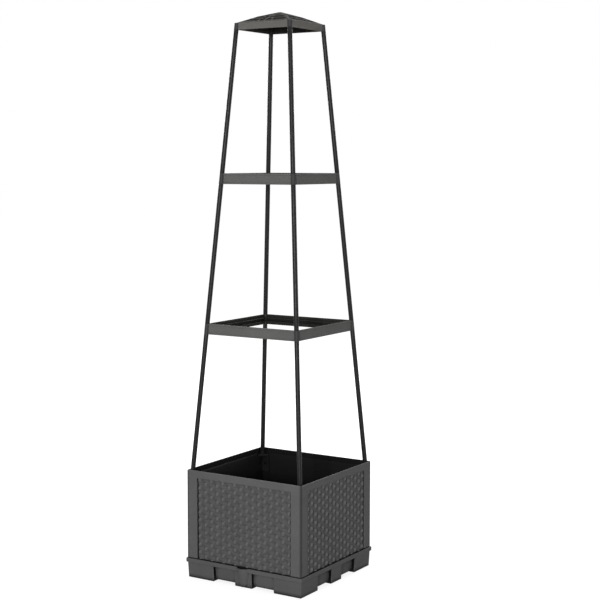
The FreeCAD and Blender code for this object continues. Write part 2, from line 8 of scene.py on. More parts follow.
from __future__ import annotations

import logging
import math
from dataclasses import dataclass, field
from enum import Enum
from typing import Any, Callable, Iterable, Mapping, Sequence

import bmesh
import bpy
import numpy as np
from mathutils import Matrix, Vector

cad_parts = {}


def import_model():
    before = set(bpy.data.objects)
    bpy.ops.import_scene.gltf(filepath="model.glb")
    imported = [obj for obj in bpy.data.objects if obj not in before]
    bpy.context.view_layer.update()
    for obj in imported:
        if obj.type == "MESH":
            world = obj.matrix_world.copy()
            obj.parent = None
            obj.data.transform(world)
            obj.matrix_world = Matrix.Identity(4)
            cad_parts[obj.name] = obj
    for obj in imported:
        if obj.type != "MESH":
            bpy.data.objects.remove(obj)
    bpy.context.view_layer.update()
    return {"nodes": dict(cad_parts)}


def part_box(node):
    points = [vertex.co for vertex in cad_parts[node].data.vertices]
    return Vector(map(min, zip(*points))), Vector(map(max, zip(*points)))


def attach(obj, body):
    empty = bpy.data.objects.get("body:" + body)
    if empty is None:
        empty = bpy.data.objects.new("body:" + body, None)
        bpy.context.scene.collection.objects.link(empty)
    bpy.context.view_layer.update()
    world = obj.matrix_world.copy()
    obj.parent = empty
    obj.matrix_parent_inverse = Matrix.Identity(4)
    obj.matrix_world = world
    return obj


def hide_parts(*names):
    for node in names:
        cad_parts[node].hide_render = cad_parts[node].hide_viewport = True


MM = 0.001
QUARTER_TURNS = 4
MERGE_MM = 0.005  # points closer than this are one point
GROUND_MM = 0.02  # an edge below this height touches the ground
FLAT_DEGREES = 0.5  # faces that meet at less are one flat face
SHARP_DEGREES = 40.0  # an edge that bends by more is rounded
NOISE_RANGE = {"From Min": 0.3, "From Max": 0.7}  # most of a noise pattern lies between these

log = logging.getLogger("planter")


class Slot(Enum):
    """The record's material slots."""

    TRAY = "tray_plastic"
    PANEL = "panel_plastic"
    INNER = "inner_plastic"
    CAGE = "cage_plastic"
    POLE = "pole_coating"


class Side(Enum):
    """The four walls of the box: the node's name and the quarter turns from the front."""

    FRONT = ("front_panel", 0)
    RIGHT = ("right_panel", 1)
    BACK = ("back_panel", 2)
    LEFT = ("left_panel", 3)


class Corner(Enum):
    """The four pole lines: the end of the node's name and the signs of x and y."""

    BACK_RIGHT = ("back_right", 1, 1)
    BACK_LEFT = ("back_left", -1, 1)
    FRONT_LEFT = ("front_left", -1, -1)
    FRONT_RIGHT = ("front_right", 1, -1)


class Zone(Enum):
    """The faces of a moulding: grained outside, plain inside, satin posts and open lattice."""

    OUTER = 0
    # Inner faces take a darker copy of the plastic, as painted shade.
    INNER = 1
    POST = 2
    LATTICE = 3


class Loop(Enum):
    """The kinds of level in a ring's section: on its outside, on its inside or on a rib."""

    OUTSIDE = 0
    INSIDE = 1
    RIB = 2


# Small helpers

FaceRule = Callable[[np.ndarray, np.ndarray], np.ndarray]


def linear(hex_colour: str) -> tuple[float, float, float, float]:
    """Turn an sRGB hex colour into linear light.

    Args:
        hex_colour: six hex digits, such as "555555".

    Returns:
        Linear red, green and blue, and an alpha of 1.
    """
    channels = [int(hex_colour[place:place + 2], 16) / 255 for place in (0, 2, 4)]
    decoded = [c / 12.92 if c <= 0.04045 else ((c + 0.055) / 1.055) ** 2.4 for c in channels]
    return (*decoded, 1.0)


def smooth(low: float, high: float, values: np.ndarray) -> np.ndarray:
    """A step from 0 to 1 with level ends: 3 t^2 - 2 t^3, where t runs from low to high.

    Args:
        low: where the step starts.
        high: where the step ends.
        values: where the step is wanted.

    Returns:
        The step at each value.
    """
    t = np.clip((values - low) / (high - low), 0, 1)
    return t * t * (3 - 2 * t)


def quarter_turned(points: np.ndarray, turns: int) -> np.ndarray:
    """Turn points about the vertical axis: each quarter turn takes (x, y) to (-y, x).

    Args:
        points: an array whose last axis is x, y, z.
        turns: how many quarter turns.

    Returns:
        The turned points.
    """
    turned = points.copy()
    for _ in range(turns % QUARTER_TURNS):
        turned = np.stack([-turned[..., 1], turned[..., 0], turned[..., 2]], axis=-1)
    return turned


def grid_quads(rows: int, columns: int, wrap_rows: bool = False, wrap_columns: bool = False) -> np.ndarray:
    """The quads between neighbouring points of a grid whose point (i, j) has the index i * columns + j.

    Args:
        rows: number of rows of points.
        columns: number of points in a row.
        wrap_rows: whether the last row joins the first.
        wrap_columns: whether the last point of a row joins the first.

    Returns:
        An array of four indices to a quad.
    """
    down, along = np.arange(rows - (not wrap_rows)), np.arange(columns - (not wrap_columns))
    i, j = np.meshgrid(down, along, indexing="ij")
    below = (i + 1) % rows
    beside = (j + 1) % columns
    corners = (i * columns + j, i * columns + beside, below * columns + beside, below * columns + j)
    return np.stack(corners, axis=-1).reshape(-1, 4)


@dataclass
class Shell:
    """Points and faces gathered, in millimetres, for one piece."""

    points: list[np.ndarray] = field(default_factory=list)
    faces: list[np.ndarray] = field(default_factory=list)
    zones: list[np.ndarray] = field(default_factory=list)
    relief: list[np.ndarray] = field(default_factory=list)

    def add(self, points: np.ndarray, faces: Iterable[np.ndarray], zone: Zone | np.ndarray = Zone.OUTER,
            relief: np.ndarray | None = None) -> None:
        """Add points and the faces between them.

        Args:
            points: an array whose last axis is x, y, z.
            faces: arrays of point indices, each with one face to a row.
            zone: the face's zone, or one zone number to each face.
            relief: how far each point stands out of a cavity, from 0 to 1; below 1 the material paints
                shade there, mixing in its darker shade colour.
        """
        flat = points.reshape(-1, 3)
        first = sum(len(part) for part in self.points)
        added = [np.asarray(part) + first for part in faces]
        count = sum(len(part) for part in added)
        self.points.append(flat)
        self.faces += added
        self.zones.append(np.full(count, zone.value) if isinstance(zone, Zone) else zone)
        self.relief.append(np.ones(len(flat)) if relief is None else relief.reshape(-1))

    def piece(self, name: str, finishes: Sequence[bpy.types.Material],
              crease: float = 38.0) -> bpy.types.Object:
        """Make the mesh object, with faces outwards and edges sharper than the crease angle kept sharp.

        Args:
            name: the object's name.
            finishes: the material of each zone.
            crease: the angle in degrees.

        Returns:
            The object, at the origin, with its place in its mesh.
        """
        mesh = bpy.data.meshes.new(name)
        points = np.concatenate(self.points) * MM
        sizes = np.concatenate([np.full(len(part), part.shape[1]) for part in self.faces])
        indices = np.concatenate([part.ravel() for part in self.faces])
        starts = np.concatenate(([0], np.cumsum(sizes)[:-1]))
        mesh.vertices.add(len(points))
        mesh.vertices.foreach_set("co", points.astype(np.float32).ravel())
        mesh.loops.add(len(indices))
        mesh.loops.foreach_set("vertex_index", indices.astype(np.int32))
        mesh.polygons.add(len(sizes))
        mesh.polygons.foreach_set("loop_start", starts.astype(np.int32))
        mesh.polygons.foreach_set("material_index", np.concatenate(self.zones).astype(np.int32))
        mesh.update(calc_edges=True)
        relief = mesh.attributes.new("relief", "FLOAT", "POINT")
        relief.data.foreach_set("value", np.concatenate(self.relief).astype(np.float32))
        for finish in finishes:
            mesh.materials.append(finish)
        work = bmesh.new()
        work.from_mesh(mesh)
        bmesh.ops.recalc_face_normals(work, faces=work.faces)
        work.to_mesh(mesh)
        work.free()
        mesh.polygons.foreach_set("use_smooth", np.ones(len(sizes), bool))
        mesh.set_sharp_from_angle(angle=math.radians(crease))
        made = bpy.data.objects.new(name, mesh)
        bpy.context.scene.collection.objects.link(made)
        return made


def moulded_copy(node: bpy.types.Object, name: str, finishes: Sequence[bpy.types.Material], edge: float,
                 zones: FaceRule | None = None, sunk: FaceRule | None = None,
                 toe: float = 0.0) -> bpy.types.Object:
    """A copy of a node with its loose triangles merged, its flat faces joined and its sharp edges rounded.

    Args:
        node: the CAD node.
        name: the new object's name.
        finishes: the material of each zone.
        edge: the width of the rounding, in millimetres.
        zones: tells the zone of each face; without it all faces are outer ones.
        sunk: tells which faces lie sunk in a recess; they take the darker shade colour, as painted
        shade.
        toe: the width of the rounding of the edges that touch the ground, or 0 for the same as the rest.

    Returns:
        The new object.
    """
    mesh = node.data.copy()
    mesh.name = name
    work = bmesh.new()
    work.from_mesh(mesh)
    bmesh.ops.remove_doubles(work, verts=work.verts, dist=MERGE_MM * MM)
    bmesh.ops.dissolve_limit(work, angle_limit=math.radians(FLAT_DEGREES), verts=work.verts, edges=work.edges)
    weight = work.edges.layers.float.new("bevel_weight_edge")
    wide = max(edge, toe)
    for bend in work.edges:
        if len(bend.link_faces) == 2 and bend.calc_face_angle() > math.radians(SHARP_DEGREES):
            grounded = toe > 0 and max(corner.co.z for corner in bend.verts) < GROUND_MM * MM
            bend[weight] = (toe if grounded else edge) / wide
    work.to_mesh(mesh)
    work.free()
    mesh.materials.clear()
    for finish in finishes:
        mesh.materials.append(finish)
    count = len(mesh.polygons)
    centres, normals = np.empty(count * 3, np.float32), np.empty(count * 3, np.float32)
    mesh.polygons.foreach_get("center", centres)
    mesh.polygons.foreach_get("normal", normals)
    centres, normals = centres.reshape(-1, 3) / MM, normals.reshape(-1, 3)
    if zones is not None:
        mesh.polygons.foreach_set("material_index", zones(centres, normals).astype(np.int32))
    # Painted shade: faces picked by sunk get relief 0, and so the shade colour.
    unshaded_share = np.ones(count, np.float32) if sunk is None else 1 - sunk(centres, normals).astype(np.float32)
    mesh.attributes.new("relief", "FLOAT", "FACE").data.foreach_set("value", unshaded_share)
    mesh.polygons.foreach_set("use_smooth", np.ones(count, bool))
    made = bpy.data.objects.new(name, mesh)
    bpy.context.scene.collection.objects.link(made)
    bevel = made.modifiers.new("edge_round", "BEVEL")
    bevel.width = wide * MM
    bevel.segments = 3 if toe else 2
    bevel.limit_method = "WEIGHT"
    bevel.harden_normals = True
    return made


def place(piece: bpy.types.Object, body: str, slot: Slot, *nodes: str) -> None:
    """Hang a finished piece on its body, in place of the nodes that it stands for.

    Args:
        piece: the finished piece.
        body: the body that it moves with.
        slot: the record's material slot; not used.
        nodes: the CAD nodes that it replaces.
    """
    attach(piece, body)
    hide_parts(*nodes)
    log.info("%s rides on %s: %d faces", piece.name, body, len(piece.data.polygons))


# Finishes


def add_node(tree: bpy.types.NodeTree, kind: str, settings: Mapping[str, Any] | None = None,
             inputs: Mapping[Any, Any] | None = None) -> bpy.types.Node:
    """Add one shader node.

    Args:
        tree: the node tree.
        kind: the node's type.
        settings: its properties.
        inputs: its sockets by name or number, each a value or an output socket to link.

    Returns:
        The node.
    """
    node = tree.nodes.new(kind)
    for key, setting in (settings or {}).items():
        setattr(node, key, setting)
    for key, given in (inputs or {}).items():
        if isinstance(given, bpy.types.NodeSocket):
            tree.links.new(given, node.inputs[key])
        else:
            node.inputs[key].default_value = given
    return node


def backdrop_rays(tree: bpy.types.NodeTree) -> bpy.types.NodeSocket:
    """The rays that see the white backdrop: from the camera, off a glossy surface or through a clear one.

    Args:
        tree: the node tree.

    Returns:
        A socket that is 1 for such a ray and 0 for the others.
    """
    path = add_node(tree, "ShaderNodeLightPath")
    mirrored = add_node(tree, "ShaderNodeMath", {"operation": "MAXIMUM"},
                        {0: path.outputs["Is Glossy Ray"], 1: path.outputs["Is Transmission Ray"]})
    return add_node(tree, "ShaderNodeMath", {"operation": "MAXIMUM"},
                    {0: path.outputs["Is Camera Ray"], 1: mirrored.outputs["Value"]}).outputs["Value"]


@dataclass(frozen=True)
class MouldedPlastic:
    """Charcoal polypropylene, injection moulded in a spark-eroded tool.

    The eye sees a dull, even grey with a fine matt grain and soft clouds of tone where the melt
    flowed. Shade is painted into the colour: where ambient occlusion finds little open sky, and where
    a piece's relief attribute is below 1, the colour is mixed towards a darker shade colour.
    """

    name: str
    colour: str
    painted_shade: str
    roughness: float = 0.52
    rough_swing: tuple[float, float] = (-0.05, 0.06)
    grain_mm: float = 0.9  # a spark-eroded grain is finer; it is drawn coarser, so that it shows
    speck_mm: float = 2.25  # the grain's specks of tone, about a pixel wide in the main view
    grain_depth_mm: float = 0.035
    cloud_mm: float = 55.0
    cloud_share: float = 0.06
    hollow_mm: float = 12.0
    sky_shut: float = 0.35
    sky_clear: float = 0.85
    gloss: float = 0.04
    ior: float = 1.49

    def material(self) -> bpy.types.Material:
        """Build the material.

        Returns:
            The material.
        """
        made = bpy.data.materials.new(self.name)
        made.use_nodes = True
        tree = made.node_tree
        tree.nodes.clear()
        place_of = add_node(tree, "ShaderNodeTexCoord").outputs["Object"]
        cloud = add_node(tree, "ShaderNodeTexNoise", None,
                         {"Vector": place_of, "Scale": 1 / (self.cloud_mm * MM), "Detail": 3.0,
                          "Roughness": 0.55})
        speck = add_node(tree, "ShaderNodeTexNoise", None,
                         {"Vector": place_of, "Scale": 1 / (self.speck_mm * MM), "Detail": 2.0})
        grain = add_node(tree, "ShaderNodeTexNoise", None,
                         {"Vector": place_of, "Scale": 1 / (self.grain_mm * MM), "Detail": 2.0,
                          "Roughness": 0.6})
        swing = {**NOISE_RANGE, "To Min": 1 - self.cloud_share, "To Max": 1 + self.cloud_share}
        clouded = add_node(tree, "ShaderNodeMapRange", None, {"Value": cloud.outputs["Fac"], **swing})
        specked = add_node(tree, "ShaderNodeMapRange", None, {"Value": speck.outputs["Fac"], **swing})
        tone = add_node(tree, "ShaderNodeMath", {"operation": "MULTIPLY"},
                        {0: clouded.outputs["Result"], 1: specked.outputs["Result"]})
        # Painted shade: ambient occlusion, mapped to 0..1 and times the relief attribute, mixes the colour
        # towards the shade colour in hollows and recesses.
        relief = add_node(tree, "ShaderNodeAttribute", {"attribute_name": "relief"})
        open_sky = add_node(tree, "ShaderNodeAmbientOcclusion", {"samples": 8},
                            {"Distance": self.hollow_mm * MM})
        unoccluded = add_node(tree, "ShaderNodeMapRange", None,
                          {"Value": open_sky.outputs["AO"], "From Min": self.sky_shut,
                           "From Max": self.sky_clear})
        unshaded = add_node(tree, "ShaderNodeMath", {"operation": "MULTIPLY"},
                           {0: relief.outputs["Fac"], 1: unoccluded.outputs["Result"]})
        shaded_colour = add_node(tree, "ShaderNodeMix", {"data_type": "RGBA"},
                        {"Factor": unshaded.outputs["Value"], "A": linear(self.painted_shade),
                         "B": linear(self.colour)})
        shade = add_node(tree, "ShaderNodeMix", {"data_type": "RGBA", "blend_type": "MULTIPLY"},
                         {"Factor": 1.0, "A": shaded_colour.outputs[2], "B": tone.outputs["Value"]})
        rough = add_node(tree, "ShaderNodeMapRange", None,
                         {"Value": speck.outputs["Fac"], **NOISE_RANGE,
                          "To Min": self.roughness + self.rough_swing[0],
                          "To Max": self.roughness + self.rough_swing[1]})
        bump = add_node(tree, "ShaderNodeBump", None,
                        {"Height": grain.outputs["Fac"], "Distance": self.grain_depth_mm * MM,
                         "Strength": 0.8})
        shader = add_node(tree, "ShaderNodeBsdfPrincipled", None,
                          {"Base Color": shade.outputs[2], "Roughness": rough.outputs["Result"],
                           "IOR": self.ior, "Specular IOR Level": self.gloss,
                           "Normal": bump.outputs["Normal"]})
        add_node(tree, "ShaderNodeOutputMaterial", None, {"Surface": shader.outputs["BSDF"]})
        return made


@dataclass(frozen=True)
class CoatedTube:
    """Steel tube with an extruded polyethylene coat.

    The eye sees a near-black satin skin with faint streaks along the tube, left by the die.
    """

    name: str
    colour: str
    streak: str
    roughness: float = 0.36
    rough_swing: tuple[float, float] = (-0.05, 0.07)
    streak_mm: float = 0.7  # a die's lines are finer; they are drawn coarser, so that they show
    streak_length_mm: float = 90.0
    streak_depth_mm: float = 0.02
    gloss: float = 0.12
    ior: float = 1.5

    def material(self) -> bpy.types.Material:
        """Build the material.

        Returns:
            The material.
        """
        made = bpy.data.materials.new(self.name)
        made.use_nodes = True
        tree = made.node_tree
        tree.nodes.clear()
        place_of = add_node(tree, "ShaderNodeTexCoord").outputs["Object"]
        across = 1 / (self.streak_mm * MM)
        along = 1 / (self.streak_length_mm * MM)
        drawn = add_node(tree, "ShaderNodeMapping", None,
                         {"Vector": place_of, "Scale": (across, across, along)})
        streak = add_node(tree, "ShaderNodeTexNoise", None,
                          {"Vector": drawn.outputs["Vector"], "Scale": 1.0, "Detail": 2.0})
        tone = add_node(tree, "ShaderNodeMapRange", None,
                        {"Value": streak.outputs["Fac"], "From Min": 0.35, "From Max": 0.7})
        colour = add_node(tree, "ShaderNodeMix", {"data_type": "RGBA"},
                          {"Factor": tone.outputs["Result"], "A": linear(self.colour),
                           "B": linear(self.streak)})
        rough = add_node(tree, "ShaderNodeMapRange", None,
                         {"Value": streak.outputs["Fac"], **NOISE_RANGE,
                          "To Min": self.roughness + self.rough_swing[0],
                          "To Max": self.roughness + self.rough_swing[1]})
        bump = add_node(tree, "ShaderNodeBump", None,
                        {"Height": streak.outputs["Fac"], "Distance": self.streak_depth_mm * MM,
                         "Strength": 0.7})
        shader = add_node(tree, "ShaderNodeBsdfPrincipled", None,
                          {"Base Color": colour.outputs[2], "Roughness": rough.outputs["Result"],
                           "IOR": self.ior, "Specular IOR Level": self.gloss,
                           "Normal": bump.outputs["Normal"]})
        add_node(tree, "ShaderNodeOutputMaterial", None, {"Surface": shader.outputs["BSDF"]})
        return made


# Moulded pieces


@dataclass
class WaterTray:
    """The tray under the box, with its feet, recesses, lip and spout."""

    edge: float = 0.6
    toe: float = 2.4
    recess_from: float = 125.0
    foot_side: float = 20.5
    corner_from: float = 120.0
    recess_top: float = 33.0
    squareness: float = 0.8

    def recess_walls(self, centres: np.ndarray, normals: np.ndarray) -> np.ndarray:
        """Which faces stand square to the tray's sides, between the feet and below the lip.

        Args:
            centres: the middles of the faces, in millimetres.
            normals: their directions.

        Returns:
            True for such a face and false for the others.
        """
        across = np.abs(centres[:, 0]) > np.abs(centres[:, 1])
        sideways = np.abs(np.where(across, normals[:, 1], normals[:, 0]))
        out = np.abs(centres[:, :2]).max(axis=1)
        along = np.abs(centres[:, :2]).min(axis=1)
        between_feet = (along > self.foot_side) & (along < self.corner_from) & (out > self.recess_from)
        return (sideways > self.squareness) & between_feet & (centres[:, 2] < self.recess_top)

    def dress(self, nodes: Mapping[str, bpy.types.Object], finish: bpy.types.Material) -> None:
        """Build the tray and hang it on the box.

        Args:
            nodes: the CAD nodes.
            finish: its material.
        """
        # The recess walls are painted with the shade colour, as painted shade between the feet.
        tray = moulded_copy(nodes["water_tray"], "tray", [finish], self.edge, sunk=self.recess_walls,
                            toe=self.toe)
        place(tray, "planter", Slot.TRAY, "water_tray")


@dataclass
class InnerFittings:
    """The pieces inside the box: the drain floor, four wick cups and four corner brackets."""

    edge: float = 0.3

    def dress(self, nodes: Mapping[str, bpy.types.Object], fitting: bpy.types.Material,
              bracket: bpy.types.Material) -> None:
        """Build the fittings and hang them on the box.

        Args:
            nodes: the CAD nodes.
            fitting: the material of the drain floor and the cups.
            bracket: the material of the brackets.
        """
        plate = moulded_copy(nodes["drain_floor"], "floor_plate", [fitting], self.edge)
        place(plate, "planter", Slot.INNER, "drain_floor")
        for corner in Corner:
            for prefix, finish in (("wick_cup", fitting), ("corner_bracket", bracket)):
                node = f"{prefix}_{corner.value[0]}"
                made = moulded_copy(nodes[node], f"{node}_moulding", [finish], self.edge)
                place(made, "planter", Slot.INNER, node)


@dataclass
class RoofCap:
    """The cap of the tower: a square band with corner posts under a low lattice roof."""

    edge: float = 0.4
    band_top: float = 1171.2
    post_from: float = 58.0
    inward: float = 0.5
    upright: float = 0.3

    def zones(self, centres: np.ndarray, normals: np.ndarray) -> np.ndarray:
        """Which finish each face of the cap takes.

        Args:
            centres: the middles of the faces, in millimetres.
            normals: their directions.

        Returns:
            The zone numbers: inner for faces that look down or towards the axis, which take the darker
            inner finish as painted shade, lattice for the roof, post for the corners of the band, and outer
            for its sides.
        """
        outwards = (normals[:, :2] * centres[:, :2]).sum(axis=1)
        inwards = outwards < -self.inward * np.linalg.norm(centres[:, :2], axis=1)
        # Faces that look down or inwards are painted darker, as painted shade.
        hidden = (normals[:, 2] < -self.upright) | (inwards & (normals[:, 2] < self.upright))
        at_corner = np.abs(centres[:, :2]).min(axis=1) > self.post_from
        band = np.where(at_corner, Zone.POST.value, Zone.OUTER.value)
        above = np.where(centres[:, 2] > self.band_top, Zone.LATTICE.value, band)
        return np.where(hidden, Zone.INNER.value, above)

    def dress(self, nodes: Mapping[str, bpy.types.Object], finishes: Sequence[bpy.types.Material]) -> None:
        """Build the cap and hang it on its body.

        Args:
            nodes: the CAD nodes.
            finishes: the materials of band, inside, posts and lattice.
        """
        cap = moulded_copy(nodes["top_cap"], "roof_cap", finishes, self.edge, zones=self.zones)
        place(cap, "cap", Slot.CAGE, "top_cap")


# Woven walls


@dataclass
class WovenWalls:
    """The four walls of the box: mitred plates with a border round a field moulded as wickerwork.

    The pairs bean_side to strand_end are the n and p of the bulges in `relief`, side_points and top_points
    tell how many points lie on two stretches, and the other pairs are the start and the end of a soft step.
    """

    face: float = 143.0
    wall: float = 2.4
    bottom: float = 36.0
    lip_top: float = 42.0
    rim: float = 233.0
    field_inset: float = 2.0
    field_half: float = 117.0
    field_top: float = 218.0
    edge_round: float = 0.9
    border_round: float = 0.7
    groove_width: float = 1.4
    groove_depth: float = 3.4
    top_slope: float = 4.0
    rim_round: float = 0.9
    seam_gap: float = 0.15
    stake_pitch: float = 14.9
    stake_count: int = 16
    stake_half: float = 5.0
    stake_rise: float = 3.9
    stake_length: float = 12.0
    stake_tilt: float = 0.18
    strand_height: float = 8.7
    strand_share: float = 0.92
    strand_rise: float = 1.5
    strand_reach: float = 11.5
    strand_slant: float = -0.3
    bean_side: tuple[float, float] = (2.0, 1.0)
    bean_end: tuple[float, float] = (2.4, 0.8)
    strand_side: tuple[float, float] = (3.0, 0.6)
    strand_end: tuple[float, float] = (2.0, 0.8)
    crossing_soft: float = 0.2
    weave_depth: float = 4.0
    weave_edge: tuple[float, float] = (-0.5, 0.4)
    field_edge: float = 0.3
    # The next five fields set painted shade and tone: shade in the weave's low places, a flat darker tone on
    # the border, a painted shadow line above the lip, and painted shade along the corner grooves.
    weave_shade_share: float = 0.38
    border_dull: float = 0.14
    lip_shade: tuple[float, float] = (0.8, 2.4)
    seam_shade: tuple[float, float] = (-3.0, -1.9)
    seam_depth: float = 0.6
    step_across: float = 0.9
    step_up: float = 0.78
    weave_end: float = 0.8
    groove_start: float = 0.35
    border_start: float = 1.8
    flat_end: float = 0.9
    side_points: tuple[int, int] = (9, 8)
    slope_start: float = 0.5
    band_start: float = 2.0
    top_points: tuple[int, int] = (8, 5)
    nose_set: float = 0.4
    nose_points: int = 7
    rim_points: int = 5
    mitre_from: float = 4.0
    back_step: float = 0.8
    back_levels: tuple[float, ...] = (170.0, 120.0, 80.0)
    back_side: tuple[float, float] = (-0.8, 0.2)
    back_top: tuple[float, float] = (-0.5, 0.5)

    def nearest(self, u: np.ndarray, z: np.ndarray, stakes: int, rows: int) -> tuple[np.ndarray, np.ndarray]:
        """How far each place lies from the nearest crossing of every second stake and every second row.

        Args:
            u: places along the wall.
            z: heights.
            stakes: 0 for the even stakes, 1 for the odd ones.
            rows: 0 for the even rows, 1 for the odd ones.

        Returns:
            The distances along the wall and up it, in millimetres.
        """
        stake = u / self.stake_pitch + (self.stake_count - 1) / 2
        row = (z - self.bottom) / self.strand_height - 0.5
        beside = stake - stakes - 2 * np.round((stake - stakes) / 2)
        above = row - rows - 2 * np.round((row - rows) / 2)
        return beside * self.stake_pitch, above * self.strand_height

    def relief(self, u: np.ndarray, z: np.ndarray) -> np.ndarray:
        """Height of the wickerwork's surface above its deepest hollow.

        Stake k passes over row r where k + r is even, as a rounded bean that leans a little; elsewhere the
        flat strand of the row passes over the stake, slanting down to the right. Bean and strand are a
        bulge (1 - |x|^n)^p along times one across, and the higher of the two shows, with a soft edge
        between them.

        Args:
            u: places along the wall.
            z: heights.

        Returns:
            The height in millimetres at each place.
        """
        def bulge(share: np.ndarray, fullness: float, power: float) -> np.ndarray:
            """The rounded profile across a bean or a strand, 1 on its middle line and 0 at its edge."""
            return np.clip(1 - np.abs(share) ** fullness, 0, 1) ** power

        bean, strand = 0.0, 0.0
        strand_half = self.strand_share * self.strand_height / 2
        for turn in (0, 1):
            x, y = self.nearest(u, z, turn, turn)
            across = bulge((x - self.stake_tilt * y) / self.stake_half, *self.bean_side)
            bean = np.maximum(bean, across * bulge(y / (self.stake_length / 2), *self.bean_end))
            x, y = self.nearest(u, z, turn, 1 - turn)
            across = bulge((y - self.strand_slant * x) / strand_half, *self.strand_side)
            strand = np.maximum(strand, across * bulge(x / self.strand_reach, *self.strand_end))
        upright, level = self.stake_rise * bean, self.strand_rise * strand
        soft = self.crossing_soft
        return 0.5 * (upright + level + np.sqrt((upright - level) ** 2 + soft ** 2)) - 0.5 * soft

    def outside(self, u: np.ndarray, z: np.ndarray) -> tuple[np.ndarray, np.ndarray]:
        """How far the outer surface stands from the box's axis, and its relief from 0 to 1.

        Args:
            u: places along the wall.
            z: heights.

        Returns:
            The distance in millimetres and the relief: the share of the wall's own colour, below 1 where
            shade is painted: in the groove round the field, in the weave's low places and as a shadow line
            just above the lip; the border takes a flat darker tone.
        """
        side = np.abs(u)
        groove = self.field_half - self.groove_width
        below_top = 1 - smooth(self.field_top - self.top_slope, self.field_top + self.border_round, z)
        beside = 1 - smooth(self.field_half - self.field_edge, self.field_half + self.border_round, side)
        inside_field = beside * below_top
        inside_weave = 1 - smooth(groove + self.weave_edge[0], groove + self.weave_edge[1], side)
        weave = self.relief(u, z)
        ground = self.groove_depth - (self.groove_depth - self.weave_depth) * inside_weave
        depth = inside_field * (ground - weave * inside_weave)
        # Painted shade: the weave's low places darken, the groove round the field takes the full shade
        # colour, and the border a flat darker tone.
        weave_shade = self.weave_shade_share * (1 - np.clip(weave / self.stake_rise, 0, 1))
        painted_shade = inside_field * (1 - inside_weave * (1 - weave_shade)) + (1 - inside_field) * self.border_dull
        # Painted shadow: a dark line along the wall just above the tray's lip.
        unshaded_share = (1 - painted_shade) * smooth(self.lip_top + self.lip_shade[0], self.lip_top + self.lip_shade[1], z)
        return self.face - depth, unshaded_share

    def along(self) -> np.ndarray:
        """Places along the wall, close together where its surface bends.

        Returns:
            The sorted places from one corner round to the other.
        """
        flat = self.face - self.edge_round - self.flat_end
        woven = self.field_half - self.groove_width - self.weave_end
        weave = np.linspace(-woven, woven, round(2 * woven / self.step_across) + 1)
        groove = np.linspace(woven + self.groove_start, self.field_half + self.border_round,
                             self.side_points[0])
        border = np.linspace(self.field_half + self.border_start, flat, self.side_points[1])
        edge = np.concatenate([groove, border])
        return np.concatenate([-edge[::-1], weave, edge])

    def heights(self) -> np.ndarray:
        """Heights of the outer surface's rows, close together where it bends.

        Returns:
            The sorted heights from the bottom to the start of the rim's rounding.
        """
        woven = self.field_top - self.top_slope
        weave = np.linspace(self.bottom, woven, round((woven - self.bottom) / self.step_up) + 1)
        slope = np.linspace(woven + self.slope_start, self.field_top + self.border_round, self.top_points[0])
        band = np.linspace(self.field_top + self.band_start, self.rim - self.rim_round, self.top_points[1])
        return np.concatenate([weave, slope, band])

    def nose(self) -> tuple[np.ndarray, np.ndarray]:
        """The rounded end of the wall in plan, a quarter circle that leaves a groove at the corner.

        Returns:
            Places along the wall, and the distance that the surface falls back there.
        """
        angles = np.linspace(0, np.pi / 2, self.nose_points)[1:]
        centre = self.face - self.edge_round - self.nose_set
        return centre + self.edge_round * np.sin(angles), self.edge_round * (1 - np.cos(angles))

    def build(self, side: Side, finishes: Sequence[bpy.types.Material]) -> bpy.types.Object:
        """One wall as a closed plate: the outer surface, the rim, the inner surface and two mitred ends.

        Each column of points runs up the outside, over the rim and down the inside. The outside is the
        distance of `outside`, the inside is a flat plate that steps in behind the field.

        Args:
            side: which wall.
            finishes: the materials of the outer and inner faces.

        Returns:
            The wall.
        """
        nose_u, nose_fall = self.nose()
        flat = self.along()
        u = np.concatenate([-nose_u[::-1], flat, nose_u])
        fall = np.concatenate([nose_fall[::-1], np.zeros(len(flat)), nose_fall])
        z = self.heights()

        out, unshaded_share = self.outside(u[None, :], z[:, None])
        end = u[-1]
        inner_end = self.face - self.wall - self.seam_gap
        mitre = self.field_half + self.mitre_from
        border = np.clip((np.abs(u) - mitre) / (end - mitre), 0, 1)
        u_in = np.sign(u) * (np.abs(u) - border * (end - inner_end))

        rounds = np.linspace(0, np.pi / 2, self.rim_points)
        over_depth = np.concatenate([self.rim_round * (1 - np.cos(rounds[1:])),
                                     self.wall - self.rim_round * (1 - np.sin(rounds))])
        over_z = np.concatenate([self.rim - self.rim_round * (1 - np.sin(rounds[1:])),
                                 self.rim - self.rim_round * (1 - np.cos(rounds))])
        step_u, step_z = self.field_half + self.wall, self.field_top + self.wall
        back_z = np.array([step_z + self.back_step, step_z, self.field_top + self.back_step,
                           *self.back_levels, self.bottom])

        t = (over_depth / self.wall)[:, None]
        over_u = u[None, :] * (1 - t) + u_in[None, :] * t
        over_d = (self.face - fall)[None, :] * (1 - t) + (self.face - self.wall) * t
        beside = 1 - smooth(step_u + self.back_side[0], step_u + self.back_side[1], np.abs(u_in))
        below = 1 - smooth(step_z + self.back_top[0], step_z + self.back_top[1], back_z)
        behind = beside[None, :] * below[:, None]
        back_d = self.face - self.wall - self.field_inset * behind
        back_u = np.broadcast_to(u_in, back_d.shape)

        grid_u = np.concatenate([np.broadcast_to(u, out.shape), over_u, back_u])
        grid_d = np.concatenate([out - fall[None, :], over_d, back_d])
        grid_z = np.concatenate([z, over_z, back_z])[:, None] + np.zeros_like(grid_u)
        points = np.stack([grid_u, -grid_d, grid_z], axis=-1)
        rows, columns = grid_u.shape
        marks = np.concatenate([unshaded_share, np.ones((rows - len(z), columns))])
